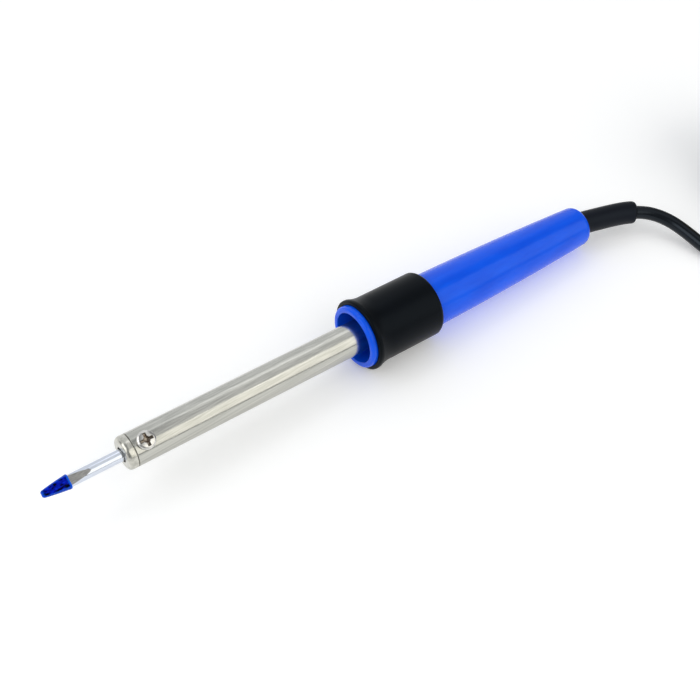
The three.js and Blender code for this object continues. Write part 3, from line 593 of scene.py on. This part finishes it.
def bitGrid(x, grow, frontX):
    # across each station the outline is a circle cut by two parallel faces: its corners lie where the
    # faces' half thickness meets the radius, so both arcs and both faces keep their own columns
    k = bitKnobs
    radius = grow + k["tip"][0] + (k["radius"] - k["tip"][0]) * np.clip((x - frontX) / k["taper"], 0, 1)
    share = (x - (frontX - 1)) / (k["end"] + k["flat"] - (frontX - 1))
    half = k["tip"][1] + grow + (k["radius"] - k["tip"][1]) * np.maximum(share, 0)
    corner = np.arcsin(np.clip(half / radius, 0, 1))[:, None]
    arc, face = np.linspace(-1, 1, 22), np.linspace(1, -1, 14)[1:-1]
    right = np.stack([radius[:, None] * np.cos(corner * arc), radius[:, None] * np.sin(corner * arc)], -1)
    edge = radius[:, None] * np.cos(corner)
    height = radius[:, None] * np.sin(corner)
    top = np.stack([edge * face, height + 0 * edge * face], -1)
    left = np.stack([-right[..., 0], right[..., 1]], -1)[:, ::-1]
    bottom = np.stack([-top[..., 0], -top[..., 1]], -1)
    outline = np.concatenate([right, top, left, bottom], 1)
    grid = np.concatenate([np.repeat(x[:, None, None], outline.shape[1], 1), outline], -1)
    onFace = np.zeros(outline.shape[1])
    onFace[21:34] = onFace[55:] = 1
    marks = onFace[None, :] * (half < radius * 0.999)[:-1, None]
    return grid, marks


def closedEnds(grid, marks):
    # a middle point closes each end
    first, last = grid[:1].copy(), grid[-1:].copy()
    first[..., 1:], last[..., 1:] = 0, 0
    zero = np.zeros((1, marks.shape[1]))
    return np.concatenate([first, grid, last]), np.concatenate([zero, marks, zero])


bitFront = bitKnobs["end"] + bitKnobs["coatWall"] + bitKnobs["coatGap"]
bitStations = np.concatenate([np.linspace(bitFront, -109.5, 90), np.linspace(-109, bitKnobs["rear"], 30)])
bitSurface, bitMarks = closedEnds(*bitGrid(bitStations, 0.0, bitFront))
makePiece("bit", [onTable(aboutX(bitSurface, screwLean))], bitPlate, "bit", ["bit_shank"], 22,
          [bitMarks])


def coatGrid():
    # the bit's own outline grown by the coat, rounded over at its end, with a slight belly 4 s (1 - s) and
    # a lip at its rear, then back inside along the bit
    k = bitKnobs
    front, rear = k["end"], k["end"] + k["coat"]
    full = k["coatGap"] + k["coatSkin"]
    outside = np.linspace(front + 0.5, rear - 0.15, 60)
    inside = np.linspace(rear - 1, bitFront + 0.02, 24)
    share = (outside - front) / k["coat"]
    skin = full + k["belly"] * 4 * share * (1 - share) + k["lip"] * hump(outside, rear - 0.6, 0.9)
    x = np.concatenate([[front, front + 0.08, front + 0.22, front + 0.38], outside,
                        [rear, rear, rear - 0.3], inside])
    grow = np.concatenate([[-0.35, 0.0, full - 0.28, full - 0.1], skin,
                           [full - 0.08, 0.12, 0.03], np.full(len(inside), 0.03)])
    grid, faceMarks = bitGrid(x, grow, bitFront)
    grid, faceMarks = closedEnds(grid, faceMarks)
    x = grid[:-1, :, 0]
    # painted glow of light through the coat: full at its rear rim, 0.6 of that at its rounded end
    edge = np.clip((x - (rear - 0.9)) / 0.5, 0, 1) + 0.6 * np.clip((front + 1.0 - x) / 0.8, 0, 1)
    edge = np.maximum(edge, 0.45 * (1 - faceMarks))  # a weaker painted glow over the bit's round sides
    return grid, edge


coatSurface, coatGlowMarks = coatGrid()
makePiece("coat", [onTable(aboutX(coatSurface, screwLean))], waxBlue, "bit", ["tip_coat"], 40,
          [coatGlowMarks])
print("bit made")


barrelKnobs = {"radius": 6.35, "wall": 0.6, "nose": -98.5, "cap": 3.4, "bush": 20.5, "rear": 38,
               "bore": 2.85, "noseRound": 1.9, "sides": 128}


def noseProfile():
    # the bore, the face, a rounded front edge, the cap's side, then the bush that goes inside the barrel
    k = barrelKnobs
    front, tubeBore = k["nose"], k["radius"] - k["wall"] - 0.3
    return softened([
        (front + k["bush"], k["bore"], 0), (front, k["bore"], 0.25), (front, k["radius"], k["noseRound"]),
        (front + k["cap"], k["radius"], 0.12), (front + k["cap"], tubeBore, 0),
        (front + k["bush"], tubeBore, 0), (front + k["bush"], k["bore"], 0)], 8)


def barrelProfile():
    # a plain tube with a softened front edge
    k = barrelKnobs
    front, tubeBore = k["nose"] + k["cap"] + 0.3, k["radius"] - k["wall"]
    return softened([
        (k["rear"], tubeBore, 0), (front, tubeBore, 0), (front, k["radius"], 0.12),
        (k["rear"], k["radius"], 0), (k["rear"], tubeBore, 0)], 4)


noseSurface = turnedGrid(noseProfile(), barrelKnobs["sides"])
noseRadius = noseProfile()[:, 1]
inBore = np.maximum(noseRadius[1:], noseRadius[:-1]) < barrelKnobs["bore"] + 0.05
noseMarks = np.repeat(inBore[:, None], barrelKnobs["sides"], 1).astype(float)
makePiece("nose", [onTable(noseSurface)], noseNickel, "iron", ["nose_bush"], 30, [noseMarks])
barrelSurface = turnedGrid(barrelProfile(), barrelKnobs["sides"])
makePiece("barrel", [onTable(barrelSurface)], nickel, "iron", ["barrel_tube"], 30)

screwKnobs = {"setback": 8.1, "shank": 2.0, "shankEnd": 2.6, "head": 3.4, "base": 6.65, "height": 2.1,
              "arm": 2.45, "armWidth": 1.15, "square": 0.95, "depth": 1.25, "slope": 0.28}


def screwGrid():
    # heights over rings of growing radius; a cross recess is pressed in: its depth grows over the slope
    # from the edge of two crossed bars, whose inner corners a small square opens, and it is shallower
    # towards the ends of its arms, as 1 - 0.45 (distance / arm)^2
    k = screwKnobs
    base, top = k["base"], k["base"] + k["height"]
    crown = np.linspace(0, 2.75, 56)
    flank = [3.26, 3.36, k["head"], k["head"], 3.38, 3.3, k["shank"], k["shank"], 0]
    radius = np.concatenate([crown, np.linspace(2.8, 3.1, 5), flank])
    height = np.concatenate([
        top - 0.25 * (crown / 2.75) ** 4, top - 0.25 - np.linspace(0.02, 0.22, 5),
        [top - 0.62, top - 0.8, top - 1.05, base + 0.35, base + 0.1],
        [base, base, k["shankEnd"], k["shankEnd"]]])
    a = np.linspace(0, 2 * np.pi, 144, endpoint=False)
    x, y = radius[:, None] * np.cos(a), radius[:, None] * np.sin(a)
    bars = np.maximum(np.minimum(k["armWidth"] / 2 - np.abs(y), k["arm"] - np.abs(x)),
                      np.minimum(k["armWidth"] / 2 - np.abs(x), k["arm"] - np.abs(y)))
    square = k["square"] - np.maximum(np.abs(x), np.abs(y))
    press = np.clip(np.maximum(bars, square) / k["slope"], 0, 1)
    press[len(crown) + 1:] = 0  # only the crown is pressed
    bowl = 1 - 0.45 * (np.hypot(x, y) / k["arm"]) ** 2
    z = height[:, None] - k["depth"] * press * np.clip(bowl, 0.3, 1)
    marks = (press[:-1] + press[1:]) / 2
    return np.stack([x, y, z], -1), marks


screwSurface, screwMarks = screwGrid()
screwPlace = aboutX(screwSurface, screwLean) + (barrelKnobs["nose"] + screwKnobs["setback"], 0, 0)
makePiece("bitScrew", [onTable(screwPlace)], screwPlate, "bit_screw", ["bit_screw"], 28,
          [screwMarks])
print("nose, barrel and screw made")


handleKnobs = {"length": 119.2, "rim": 12.65, "rimLength": 5, "rimRound": 1.2, "mouth": 10.3, "throat": 9.8,
               "depth": 36, "seat": 11.6, "waist": 10.98, "waistX": 37, "rear": 8.35, "rearRound": 2.3,
               "crown": 0.42, "core": 6.9, "rearWall": 7.2, "hole": 5.15}


def handleProfile():
    # the side is a straight taper plus a crown of 4 s (1 - s); the rest is flats joined by roundings
    k = handleKnobs
    s = np.linspace(0, 1, 60)
    x = k["waistX"] + (k["length"] - k["waistX"]) * s
    radius = k["waist"] + (k["rear"] - k["waist"]) * s + k["crown"] * 4 * s * (1 - s)
    side = np.column_stack([x, radius])[:-3]
    front = softened([
        (6, k["throat"], 0), (0, k["mouth"], 0.45), (0, k["rim"], k["rimRound"]),
        (k["rimLength"], k["rim"], 0), (k["rimLength"], k["seat"], 0), (31.6, k["seat"], 0),
        (32.6, k["waist"], 0), (k["waistX"] - 0.5, k["waist"], 0)], 8)
    rear = softened([
        tuple(side[-1]) + (0,), (k["length"], k["rear"], k["rearRound"]), (k["length"], k["hole"], 0.4),
        (k["length"] - k["rearWall"], k["hole"], 0), (k["length"] - k["rearWall"], k["core"], 0),
        (k["depth"], k["core"], 0), (k["depth"], k["throat"], 0), (6, k["throat"], 0)], 8)
    return np.concatenate([front, side[:-1], rear])


makePiece("handle", [onTable(turnedGrid(handleProfile(), 160))], handleBlue, "iron",
          ["handle_shell"], 32)


gripKnobs = {"start": 2.2, "end": 34.6, "radius": 13.35, "lip": 14.5, "lipX": 3.4, "bore": 11.9,
             "waistBore": 11.15, "rimBore": 12.7, "rimEnd": 5.3}


def gripProfile():
    # the lip swells from the body's radius as (1 - t)^2.2 behind its crest, and the rear edge is rounded
    k = gripKnobs
    t = np.linspace(0, 1, 24)
    rise = k["lip"] - k["radius"] - 0.06
    swell = np.column_stack([k["lipX"] + 0.5 + 6.0 * t, k["radius"] + rise * (1 - t) ** 2.2])
    front = softened([
        (k["rimEnd"], k["rimBore"], 0), (k["start"], k["rimBore"], 0.25), (k["start"], k["lip"] - 0.1, 0.9),
        (k["lipX"] + 0.5, k["lip"], 0)], 8)
    rear = softened([
        tuple(swell[-1]) + (0,), (k["end"] - 1.4, k["radius"] - 0.05, 0), (k["end"], k["radius"] - 0.05, 2.1),
        (k["end"], k["waistBore"], 0.3), (32.6, k["waistBore"], 0), (31.3, k["bore"], 0),
        (k["rimEnd"], k["bore"], 0), (k["rimEnd"], k["rimBore"], 0)], 8)
    return np.concatenate([front[:-1], swell[:-1], rear])


def gripGrid():
    # soft rubber is not quite round: the radius varies by 0.06 mm in slow waves round and along it
    grid = turnedGrid(gripProfile(), 160)
    a = np.arctan2(grid[..., 2], grid[..., 1])
    radius = np.hypot(grid[..., 1], grid[..., 2])
    wave = 0.06 * np.sin(3 * a + 0.16 * grid[..., 0]) * np.sin(0.21 * grid[..., 0] + a)
    scale = 1 - np.where(radius > 13, 0.06 - wave, 0) / radius
    return np.stack([grid[..., 0], grid[..., 1] * scale, grid[..., 2] * scale], -1)


makePiece("grip", [onTable(gripGrid())], gripRubber, "iron", ["grip_sleeve"], 40)
print("handle and grip made")


def bootGrid():
    # rings square to the boot's line: each ring's centre and heading come from the line, its radius from a
    # profile over the distance along it, which rounds over at the end and comes back inside as the bore
    k = bootKnobs
    x, y, heads = bootLine(k["steps"])
    along = np.concatenate([[0], np.cumsum(np.hypot(np.diff(x), np.diff(y)))])
    total, back = along[-1], k["start"] - k["rear"]
    flange = softened([
        (back, 3.1, 0), (back, k["flange"], 0.3), (back + 2.6, k["flange"], 0.3),
        (back + 2.6, k["radius"], 0)], 3)
    bodyEnd = total - k["endRound"]
    body = np.column_stack([np.linspace(back + 3, bodyEnd - 0.2, 60), np.full(60, k["radius"])])
    end = softened([
        (bodyEnd - 0.1, k["radius"], 0), (total, k["radius"] - 0.05, k["endRound"]),
        (total, k["bore"], 0.35), (total - 9, k["bore"], 0)], 10)
    inner = np.column_stack([np.linspace(total - 10, back, 30), np.full(30, k["bore"])])
    profile = np.concatenate([flange, body, end, inner, flange[:1]])
    s = profile[:, 0]
    centreX = np.where(s < 0, k["rear"] + s, np.interp(s, along, x))
    centreY = np.where(s < 0, 0, np.interp(s, along, y))
    head = np.where(s < 0, 0, np.interp(s, along, heads))
    a = np.linspace(0, 2 * np.pi, 96, endpoint=False)
    side = profile[:, 1:] * np.cos(a)
    up = profile[:, 1:] * np.sin(a)
    return np.stack([centreX[:, None] + side * np.sin(head)[:, None],
                     centreY[:, None] + side * np.cos(head)[:, None], up], -1)


makePiece("boot", [onTable(bootGrid())], bootRubber, "iron", ["strain_relief_boot"], 45)
print("boot made")


zincPlate = workedMetal("zincPlate", "#9d9da0", "#bfc0c2", 0.34)
resistanceWire = workedMetal("resistanceWire", "#5a5651", "#7d7873", 0.5, 0.3)
firedCeramic = grainyPlastic("firedCeramic", "#d9d2c2", "#ece7da", 0.6, 0.3)
micaSheet = grainyPlastic("micaSheet", "#8a6c45", "#c2a16f", 0.35, 1.5)
wovenGlass = grainyPlastic("wovenGlass", "#cfcabd", "#ebe7dc", 0.7, 0.25, 0.05)
earthWire = grainyPlastic("earthWire", "#2c7a26", "#8fb52c", 0.4, 2.0)
liveWire = grainyPlastic("liveWire", "#4d2a12", "#6b3f1e", 0.4)
neutralWire = grainyPlastic("neutralWire", "#1d4ba8", "#2f63c8", 0.4)
keptNodes = {
    "barrel_flange": zincPlate, "flange_screw_1": zincPlate, "flange_screw_2": zincPlate,
    "flange_screw_3": zincPlate, "earth_lug": zincPlate, "flex_clip": zincPlate,
    "heater_winding": resistanceWire, "heater_former": firedCeramic, "heater_end_disc": firedCeramic,
    "terminal_block": firedCeramic, "fuse": firedCeramic, "mica_wrap": micaSheet,
    "lead_sleeve_live": wovenGlass, "lead_sleeve_neutral": wovenGlass, "earth_link": earthWire,
    "core_earth": earthWire, "core_live": liveWire, "core_neutral": neutralWire, "flex_tail": sheathBlack,
    "terminal_screw_live": pinBrass, "terminal_screw_earth": pinBrass, "terminal_screw_neutral": pinBrass,
    "fuse_carrier": carrierRed}
for nodeName, nodeMaterial in keptNodes.items():
    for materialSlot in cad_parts[nodeName].material_slots:
        materialSlot.material = nodeMaterial


studioKnobs = {  # each softbox: place, what it faces, size in metres, power in watts and colour
    "world": 0.36, "tint": (0.94, 0.97, 1.0, 1), "tableReach": 4, "tableGlow": 0.2,
    "boxes": {
        "back": ((0.2, 1.06, 0.83), (0.2, 0.0, 0.0), (2.6, 1.9), 8.5, "#fafcff"),
        "zenith": ((0.45, -0.04, 1.3), (0.2, 0.0, 0.0), (1.8, 0.65), 1.8, "#ffffff"),
        "strip": ((0.3, 0.18, 1.0), (0.3, 0.0, 0.0), (1.7, 0.12), 0.08, "#ffffff"),
        "front": ((0.6, -0.983, 0.688), (0.25, 0.0, 0.0), (1.8, 1.2), 7.8, "#fffcf3"),
        "side": ((-1.1, 0.1, 0.9), (0.1, 0.0, 0.0), (1.2, 1.2), 8.0, "#ffffff")}}


def frostedTable():
    # frosted white acrylic, lit a little from below, as a light table is: shadows on it stay pale
    material, tree, place, along = startMaterial("frostedTable")
    clouds = addNode(tree, "TexNoise", {}, {"Vector": place, "Scale": 1 / (1.1 * mm)})
    tone = addNode(tree, "ValToRGB", {"stops": [(0.3, "#f4f4f4"), (0.7, "#f8f8f8")]}, {"Fac": clouds})
    endMaterial(tree, {
        "Roughness": 0.7, "Base Color": tone, "Emission Color": (1, 1, 1, 1),
        "Emission Strength": studioKnobs["tableGlow"]})
    return material


def stageSheet(name, corners, material):
    # one flat quad that isn't part of the object
    mesh = bpy.data.meshes.new(name)
    mesh.from_pydata(corners, [], [(0, 1, 2, 3)])
    sheet = bpy.data.objects.new(name, mesh)
    mesh.materials.append(material)
    bpy.context.collection.objects.link(sheet)


def softbox(name, place, target, size, power, tone):
    # a rectangular area light that faces its target and isn't seen itself
    light = bpy.data.lights.new(name, "AREA")
    light.shape = "RECTANGLE"
    light.size, light.size_y = size
    light.energy = power
    light.color = linear(tone)[:3]
    lamp = bpy.data.objects.new(name, light)
    lamp.location = place
    lamp.rotation_mode = "QUATERNION"
    lamp.rotation_quaternion = (Vector(target) - Vector(place)).to_track_quat("-Z", "Y")
    lamp.visible_camera = False
    bpy.context.collection.objects.link(lamp)


reach = studioKnobs["tableReach"]
tableCorners = [(-reach, -reach, 0), (reach, -reach, 0), (reach, reach, 0), (-reach, reach, 0)]
stageSheet("floor", tableCorners, frostedTable())
for boxName, boxValues in studioKnobs["boxes"].items():
    softbox(boxName, *boxValues)
world = bpy.data.worlds.new("studio")
bpy.context.scene.world = world
world.use_nodes = True
background = world.node_tree.nodes["Background"]
background.inputs["Color"].default_value = studioKnobs["tint"]
background.inputs["Strength"].default_value = studioKnobs["world"]
bpy.context.scene.view_settings.view_transform = "Standard"
print("light set")

bpy.context.view_layer.update()
